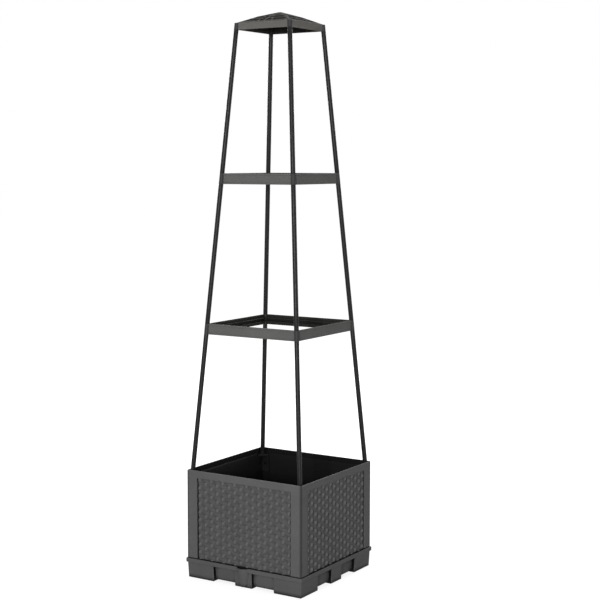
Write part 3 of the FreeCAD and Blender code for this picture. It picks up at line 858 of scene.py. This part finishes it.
        # Painted shade: a dark strip along each end of the wall, in the groove at the box's corner.
        seam = smooth(self.face + self.seam_shade[0], self.face + self.seam_shade[1], np.abs(u))
        marks *= 1 - self.seam_depth * seam[None, :]

        quads = grid_quads(rows, columns, wrap_rows=True)
        ends = np.arange(rows) * columns
        middle_row = len(z) + len(over_z) // 2
        quad_rows = np.arange(len(quads)) // (columns - 1)
        # The inside faces take the darker inner finish, as painted shade inside the box.
        zones = np.concatenate([np.where(quad_rows < middle_row, Zone.OUTER.value, Zone.INNER.value),
                                [Zone.OUTER.value] * 2])
        shell = Shell()
        shell.add(quarter_turned(points, side.value[1]),
                  [quads, ends[None, :], ends[None, ::-1] + columns - 1], zones, marks)
        return shell.piece(side.value[0].replace("panel", "woven_wall"), finishes)

    def dress(self, finishes: Sequence[bpy.types.Material]) -> None:
        """Build all four walls and hang them on the box.

        Args:
            finishes: the materials of the outer and inner faces.
        """
        for side in Side:
            place(self.build(side, finishes), "planter", Slot.PANEL, side.value[0])


# Tower


@dataclass
class PoleLines:
    """Twelve coated tubes, three to a corner, that lean towards the tower's axis."""

    radius: float = 5.0
    bore: float = 4.2
    edge: float = 0.3
    sides: int = 40
    bend_points: int = 4
    levels: int = 9
    tiers: Mapping[str, str] = field(default_factory=lambda: {
        "lower_pole": "lower_tier", "middle_pole": "middle_tier", "upper_pole": "upper_tier"})

    def build(self, node: str, corner: Corner, finish: bpy.types.Material) -> bpy.types.Object:
        """One tube: a ring-shaped profile of wall and bore carried up a leaning line, with level ends.

        Each level of the profile is a circle of its own radius about the axis, and the axis moves from
        its place at the bottom to its place at the top in proportion to the height.

        Args:
            node: the CAD node that the tube stands for.
            corner: its corner.
            finish: its material.

        Returns:
            The tube.
        """
        low, high = (np.array(point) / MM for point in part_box(node))
        signs = np.array(corner.value[1:])
        reach = np.abs(np.stack([low[:2], high[:2]]))
        foot = reach.max(axis=0) - self.radius
        head = reach.min(axis=0) + self.radius
        bends = np.linspace(0, np.pi / 2, self.bend_points)
        fall, narrow = self.edge * (1 - np.cos(bends)), self.edge * (1 - np.sin(bends))
        middle = np.linspace(low[2], high[2], self.levels)[1:-1]
        wall_z = np.concatenate([low[2] + fall, middle, high[2] - narrow])
        wall_r = self.radius - np.concatenate([narrow, np.zeros(len(middle)), fall])
        level = np.concatenate([wall_z, [high[2], high[2] - self.edge, low[2] + self.edge, low[2]]])
        bore_r = [self.bore + self.edge, self.bore, self.bore, self.bore + self.edge]
        radius = np.concatenate([wall_r, bore_r])
        turn = np.linspace(0, 2 * np.pi, self.sides, endpoint=False)
        rise = ((level - low[2]) / (high[2] - low[2]))[:, None]
        axis = (foot[None, :] + (head - foot)[None, :] * rise) * signs[None, :]
        points = np.stack([axis[:, :1] + radius[:, None] * np.cos(turn)[None, :],
                           axis[:, 1:] + radius[:, None] * np.sin(turn)[None, :],
                           np.broadcast_to(level[:, None], (len(level), self.sides))], axis=-1)
        shell = Shell()
        shell.add(points, [grid_quads(len(level), self.sides, True, True)])
        return shell.piece(node.replace("pole", "tube"), [finish])

    def dress(self, finish: bpy.types.Material) -> None:
        """Build all twelve tubes and hang them on their tiers.

        Args:
            finish: their material.
        """
        for prefix, body in self.tiers.items():
            for corner in Corner:
                node = f"{prefix}_{corner.value[0]}"
                place(self.build(node, corner, finish), body, Slot.POLE, node)


@dataclass
class CageBands:
    """The two square rings of the tower: flat bands with inner ribs and a post in each corner."""

    seat: float = 219.0
    seat_axis: float = 135.05
    lean: float = 0.0737443
    post: float = 5.0
    wall: float = 2.4
    height: float = 22.5
    rib_reach: float = 5.0
    rib: float = 2.0
    rib_shares: tuple[float, ...] = (0.3, 0.65)
    rib_corner: float = 2.0
    edge: float = 0.5
    rim: float = 3.0
    sink: float = 0.7
    sink_slope: float = 0.5
    sink_flat: float = 2.0
    flat_points: int = 5
    bend_points: int = 4
    pin_length: float = 14.0
    pin_radius: float = 3.17
    pin_set: float = 0.6
    pin_taper: float = 1.2
    pin_narrow: float = 0.7
    rib_soft: float = 0.35
    post_fall: float = 0.6
    straight: int = 6
    turn: int = 22
    pin_sides: int = 20

    def axis(self, z: np.ndarray | float) -> np.ndarray | float:
        """How far the pole lines stand from the middle planes at a height: a straight line that leans in."""
        return self.seat_axis - self.lean * (z - self.seat)

    def profile(self, bottom: float) -> tuple[np.ndarray, np.ndarray, np.ndarray]:
        """The band's section, once round: up the outside, over the top, down the ribbed inside.

        Args:
            bottom: the height of the band's lower edge.

        Returns:
            Heights, distances from the band's middle plane, and the kind of loop at each level.
        """
        top, half = bottom + self.height, self.wall / 2
        bends = np.linspace(0, np.pi / 2, self.bend_points)
        low_z, low_d = bottom + self.edge * (1 - np.cos(bends)), half - self.edge * (1 - np.sin(bends))
        sunk = np.array([0.0, 0.5, 1.0])
        step, inset = self.sink_slope * sunk, self.rim + self.sink_flat
        flat = np.linspace(bottom + inset, top - inset, self.flat_points)
        panel_z = np.concatenate([bottom + self.rim + step, flat, top - self.rim - step[::-1]])
        panel_d = half - self.sink * np.concatenate([sunk, np.ones(len(flat)), sunk[::-1]])
        outer = (np.concatenate([low_z, panel_z, bottom + top - low_z[::-1]]),
                 np.concatenate([low_d, panel_d, low_d[::-1]]))
        ribs = [(bottom + self.height * share) for share in sorted(self.rib_shares, reverse=True)]
        soft, inside, rib = self.rib_soft, Loop.INSIDE.value, Loop.RIB.value
        inner_z, inner_d, inner_kind = [top, top - self.edge], [self.edge - half, -half], [inside] * 2
        for middle in ribs:
            above, below = middle + self.rib / 2, middle - self.rib / 2
            inner_z += [above, above, above - soft, below + soft, below, below]
            inner_d += [-half, soft - half - self.rib_reach, -half - self.rib_reach, -half - self.rib_reach,
                        soft - half - self.rib_reach, -half]
            inner_kind += [inside, rib, rib, rib, rib, inside]
        inner_z += [bottom + self.edge, bottom]
        inner_d += [-half, self.edge - half]
        inner_kind += [inside] * 2
        kinds = np.concatenate([np.full(len(outer[0]), Loop.OUTSIDE.value), inner_kind])
        return np.concatenate([outer[0], inner_z]), np.concatenate([outer[1], inner_d]), kinds

    def loops(self, middle: float, z: np.ndarray, away: np.ndarray, kind: np.ndarray) -> np.ndarray:
        """The plan of each level: four straights joined round the corner posts.

        A post is a circle about the pole line. On the outside the loop leaves the band where it meets
        that circle and goes round the post; on the inside it takes the short arc that shows in the
        corner; on a rib it turns in a small arc of its own.

        Args:
            middle: distance of the band's middle plane from the axis.
            z: heights of the levels.
            away: distances from the middle plane.
            kind: the kind of each level.

        Returns:
            The points, one row to a level.
        """
        half = middle + away
        on_rib = kind == Loop.RIB.value
        end_fall = np.clip(self.edge - np.minimum(z - z.min(), z.max() - z), 0, None) * self.post_fall
        centre = np.where(on_rib, half - self.rib_corner, self.axis(z))
        radius = np.where(on_rib, self.rib_corner, self.post - end_fall)
        off = half - centre
        reach = np.where(on_rib, 0.0, np.sqrt(np.clip(radius ** 2 - off ** 2, 0, None)))
        start = np.where(on_rib, -np.pi / 2, np.arctan2(-off, -reach))
        start = np.where((kind == Loop.OUTSIDE.value) & (start > 0), start - 2 * np.pi, start)
        start = np.where((kind == Loop.INSIDE.value) & (start < 0), start + 2 * np.pi, start)
        stop = np.where(on_rib, 0.0, np.arctan2(reach, off))
        share = np.linspace(0, 1, self.turn)
        angle = start[:, None] + (stop - start)[:, None] * share
        corner_x = centre[:, None] + radius[:, None] * np.cos(angle)
        corner_y = -centre[:, None] + radius[:, None] * np.sin(angle)
        side_x = corner_x[:, :1] * np.linspace(-1, 1, self.straight + 1)[None, :-1]
        side_y = np.broadcast_to(-half[:, None], side_x.shape)
        x, y = np.concatenate([side_x, corner_x], axis=1), np.concatenate([side_y, corner_y], axis=1)
        quarter = np.stack([x, y, np.broadcast_to(z[:, None], x.shape)], axis=-1)
        return np.concatenate([quarter_turned(quarter, turns) for turns in range(QUARTER_TURNS)], axis=1)

    def pin(self, shell: Shell, foot: float, tip: float, corner: Corner) -> None:
        """A plain pin with a tapered tip, set a little into the post that carries it.

        Args:
            shell: where it is added.
            foot: the height at which it leaves the post.
            tip: the height of its far end.
            corner: its corner.
        """
        way = math.copysign(1.0, tip - foot)
        z = np.array([foot - self.pin_set * way, tip - self.pin_taper * way, tip])
        radius = np.array([self.pin_radius, self.pin_radius, self.pin_radius - self.pin_narrow])
        turn = np.linspace(0, 2 * np.pi, self.pin_sides, endpoint=False)
        middle = self.axis((foot + tip) / 2)
        x = corner.value[1] * middle + radius[:, None] * np.cos(turn)
        y = corner.value[2] * middle + radius[:, None] * np.sin(turn)
        points = np.stack([x, y, np.broadcast_to(z[:, None], x.shape)], axis=-1)
        ring = np.arange(self.pin_sides)[None, :]
        sides = grid_quads(len(z), self.pin_sides, wrap_columns=True)
        shell.add(points, [sides, ring, ring + (len(z) - 1) * self.pin_sides], Zone.POST)

    def build(self, node: str, name: str, finishes: Sequence[bpy.types.Material]) -> bpy.types.Object:
        """One ring: the section carried round the plan as a single closed surface, and its eight pins.

        Args:
            node: the CAD node that it stands for.
            name: the piece's name.
            finishes: the materials of outside, inside and posts.

        Returns:
            The ring.
        """
        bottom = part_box(node)[0][2] / MM + self.pin_length
        z, away, kind = self.profile(bottom)
        points = self.loops(float(self.axis(bottom + self.height / 2)), z, away, kind)
        levels, columns = points.shape[:2]
        per_side = self.straight + self.turn
        row, column = np.divmod(np.arange(levels * columns), columns)
        on_post = (column % per_side >= self.straight) & (column % per_side < per_side - 1)
        here, above = kind[row], kind[(row + 1) % levels]
        both_plain = (here != Loop.RIB.value) & (above != Loop.RIB.value)
        outside = (here == Loop.OUTSIDE.value) & (above == Loop.OUTSIDE.value)
        # Inside faces and ribs take the darker inner finish, as painted shade inside the ring.
        zones = np.where(on_post & both_plain, Zone.POST.value,
                         np.where(outside, Zone.OUTER.value, Zone.INNER.value))
        shell = Shell()
        shell.add(points, [grid_quads(levels, columns, True, True)], zones)
        for corner in Corner:
            self.pin(shell, bottom + self.height, bottom + self.height + self.pin_length, corner)
            self.pin(shell, bottom, bottom - self.pin_length, corner)
        return shell.piece(name, finishes)

    def dress(self, finishes: Sequence[bpy.types.Material]) -> None:
        """Build both rings and hang them on their tiers.

        Args:
            finishes: the materials of outside, inside and posts.
        """
        for node, name, body in (("lower_ring", "lower_band", "lower_tier"),
                                 ("upper_ring", "upper_band", "middle_tier")):
            place(self.build(node, name, finishes), body, Slot.CAGE, node)


# Studio


@dataclass(frozen=True)
class SoftBox:
    """A square lamp that faces the object.

    It stands at an azimuth in degrees from the spout's side towards +X and at an elevation in degrees, at a
    reach and with a side in metres. Its level is a share of plain light: a lamp of pi^2 d^2 watts at a
    distance d shows a matt surface that faces it in its own colour.
    """

    name: str
    azimuth: float
    elevation: float
    reach: float
    size: float
    level: float

    def build(self, aim: float) -> None:
        """Make the lamp.

        Args:
            aim: the height in metres that it faces.
        """
        data = bpy.data.lights.new(self.name, "AREA")
        data.shape = "SQUARE"
        data.size = self.size
        data.energy = self.level * math.pi ** 2 * self.reach ** 2
        made = bpy.data.objects.new(self.name, data)
        turn, rise = math.radians(self.azimuth), math.radians(self.elevation)
        back = np.array([math.sin(turn) * math.cos(rise), -math.cos(turn) * math.cos(rise), math.sin(rise)])
        made.location = back * self.reach + np.array([0, 0, aim])
        made.rotation_euler = (math.pi / 2 - rise, 0, turn)
        bpy.context.scene.collection.objects.link(made)


@dataclass
class Studio:
    """A plain pale floor, soft boxes and the camera at the photograph's angle.

    Lengths are in metres and angles in degrees; a name that ends in _px or _mm gives its own unit.
    """

    azimuth: float = 32.8423
    distance: float = 2.9579
    height: float = 0.8853
    pitch: float = 5.684
    focal_px: float = 1395.04
    image_px: float = 600.0
    centre_px: float = 19.88
    sensor_mm: float = 36.0
    view_end: float = 60.0
    floor_half: float = 14.0
    floor_points: int = 9
    floor_colour: str = "a0a0a0"
    floor_lift: float = 0.8
    lift_near: float = 0.2
    lift_far: float = 1.8
    ambient: float = 0.05
    aim: float = 0.55
    lamps: tuple[SoftBox, ...] = (
        SoftBox("key", 23.0, 9.0, 4.2, 0.6, 0.86),
        SoftBox("side", 88.0, 14.0, 1.4, 2.2, 0.24),
        SoftBox("kicker", -128.0, 20.0, 3.6, 1.6, 0.6),
        SoftBox("back", 184.0, 22.0, 3.6, 1.6, 0.5),
        SoftBox("top", 10.0, 82.0, 3.4, 1.6, 0.34),
    )

    def camera(self) -> None:
        """Place the camera: it stands off at the azimuth and looks down by the pitch."""
        data = bpy.data.cameras.new("camera")
        data.sensor_width = self.sensor_mm
        data.lens = self.focal_px / self.image_px * self.sensor_mm
        data.shift_x = self.centre_px / self.image_px
        data.clip_end = self.view_end
        made = bpy.data.objects.new("camera", data)
        turn = math.radians(self.azimuth)
        made.location = (math.sin(turn) * self.distance, -math.cos(turn) * self.distance, self.height)
        made.rotation_euler = (math.radians(90 - self.pitch), 0, turn)
        bpy.context.scene.collection.objects.link(made)
        bpy.context.scene.camera = made

    def floor(self) -> None:
        """A wide sheet under the feet. Its own glow, which lights no matt surface, brings it near white."""
        made = bpy.data.materials.new("matt white paper floor")
        made.use_nodes = True
        tree = made.node_tree
        tree.nodes.clear()
        place_of = add_node(tree, "ShaderNodeTexCoord").outputs["Object"]
        away = add_node(tree, "ShaderNodeVectorMath", {"operation": "LENGTH"}, {0: place_of})
        lift = add_node(tree, "ShaderNodeMapRange", {"interpolation_type": "SMOOTHSTEP"},
                        {"Value": away.outputs["Value"], "From Min": self.lift_near,
                         "From Max": self.lift_far, "To Min": self.floor_lift, "To Max": 1.0})
        seen = add_node(tree, "ShaderNodeMath", {"operation": "MULTIPLY"},
                        {0: backdrop_rays(tree), 1: lift.outputs["Result"]})
        shader = add_node(tree, "ShaderNodeBsdfPrincipled", None,
                          {"Base Color": linear(self.floor_colour), "Roughness": 0.9,
                           "Specular IOR Level": 0.0, "Emission Color": (1, 1, 1, 1),
                           "Emission Strength": seen.outputs["Value"]})
        add_node(tree, "ShaderNodeOutputMaterial", None, {"Surface": shader.outputs["BSDF"]})
        shell = Shell()
        span = np.linspace(-self.floor_half, self.floor_half, self.floor_points) / MM
        x, y = np.meshgrid(span, span, indexing="ij")
        quads = grid_quads(self.floor_points, self.floor_points)[:, ::-1]
        shell.add(np.stack([x, y, np.zeros_like(x)], axis=-1), [quads])
        sheet = shell.piece("floor", [made])

    def world(self) -> None:
        """White behind everything that the camera or a gloss sees, and a low even light from all round."""
        world = bpy.data.worlds.new("studio")
        world.use_nodes = True
        tree = world.node_tree
        tree.nodes.clear()
        level = add_node(tree, "ShaderNodeMapRange", None,
                         {"Value": backdrop_rays(tree), "To Min": self.ambient, "To Max": 1.0})
        light = add_node(tree, "ShaderNodeBackground", None,
                         {"Color": (1, 1, 1, 1), "Strength": level.outputs["Result"]})
        add_node(tree, "ShaderNodeOutputWorld", None, {"Surface": light.outputs["Background"]})
        bpy.context.scene.world = world

    def build(self) -> None:
        """Set up the whole studio."""
        bpy.context.scene.view_settings.view_transform = "Standard"
        self.camera()
        self.floor()
        self.world()
        for lamp in self.lamps:
            lamp.build(self.aim)


def main() -> None:
    """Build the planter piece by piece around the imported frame, then the studio."""
    logging.basicConfig(level=logging.INFO, format="%(message)s")
    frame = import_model()
    nodes = frame["nodes"]

    # Each plastic's second colour is its shade colour, which the material paints into hollows and recesses.
    panel_outer = MouldedPlastic("grained charcoal polypropylene walls", "606060", "141414",
                                 hollow_mm=4.0).material()
    # The inside finishes are darker copies of the same plastic: painted shade inside the box, the rings and
    # the cap.
    shaded_panel_inner = MouldedPlastic("charcoal polypropylene wall insides, painted shade", "141415", "0c0c0c", 0.5).material()
    tray_plastic = MouldedPlastic("grained charcoal polypropylene tray", "565656", "0e0e0e").material()
    dark_plastic = MouldedPlastic("plain charcoal polypropylene fittings", "303031", "161616", 0.5).material()
    bracket_plastic = MouldedPlastic("plain charcoal polypropylene brackets", "161617", "0c0c0c",
                                     0.5).material()
    cage_plastic = MouldedPlastic("grained charcoal polypropylene cage", "5f5f5e", "242423").material()
    cap_plastic = MouldedPlastic("grained charcoal polypropylene cap", "65635f", "262523").material()
    roof_plastic = MouldedPlastic("grained charcoal polypropylene lattice", "302f2d", "0e0e0d").material()
    shaded_cage_inner = MouldedPlastic("charcoal polypropylene cage insides, painted shade", "2b2b29", "161616", 0.45).material()
    post_plastic = MouldedPlastic("satin charcoal polypropylene posts", "3c3b3d", "1e1e1e", 0.4).material()
    coat = CoatedTube("polyethylene coated steel tube", "151416", "242325").material()

    WovenWalls().dress([panel_outer, shaded_panel_inner])
    WaterTray().dress(nodes, tray_plastic)
    InnerFittings().dress(nodes, dark_plastic, bracket_plastic)
    CageBands().dress([cage_plastic, shaded_cage_inner, post_plastic])
    RoofCap().dress(nodes, [cap_plastic, shaded_cage_inner, post_plastic, roof_plastic])
    PoleLines().dress(coat)
    Studio().build()


if __name__ == "__main__":
    main()
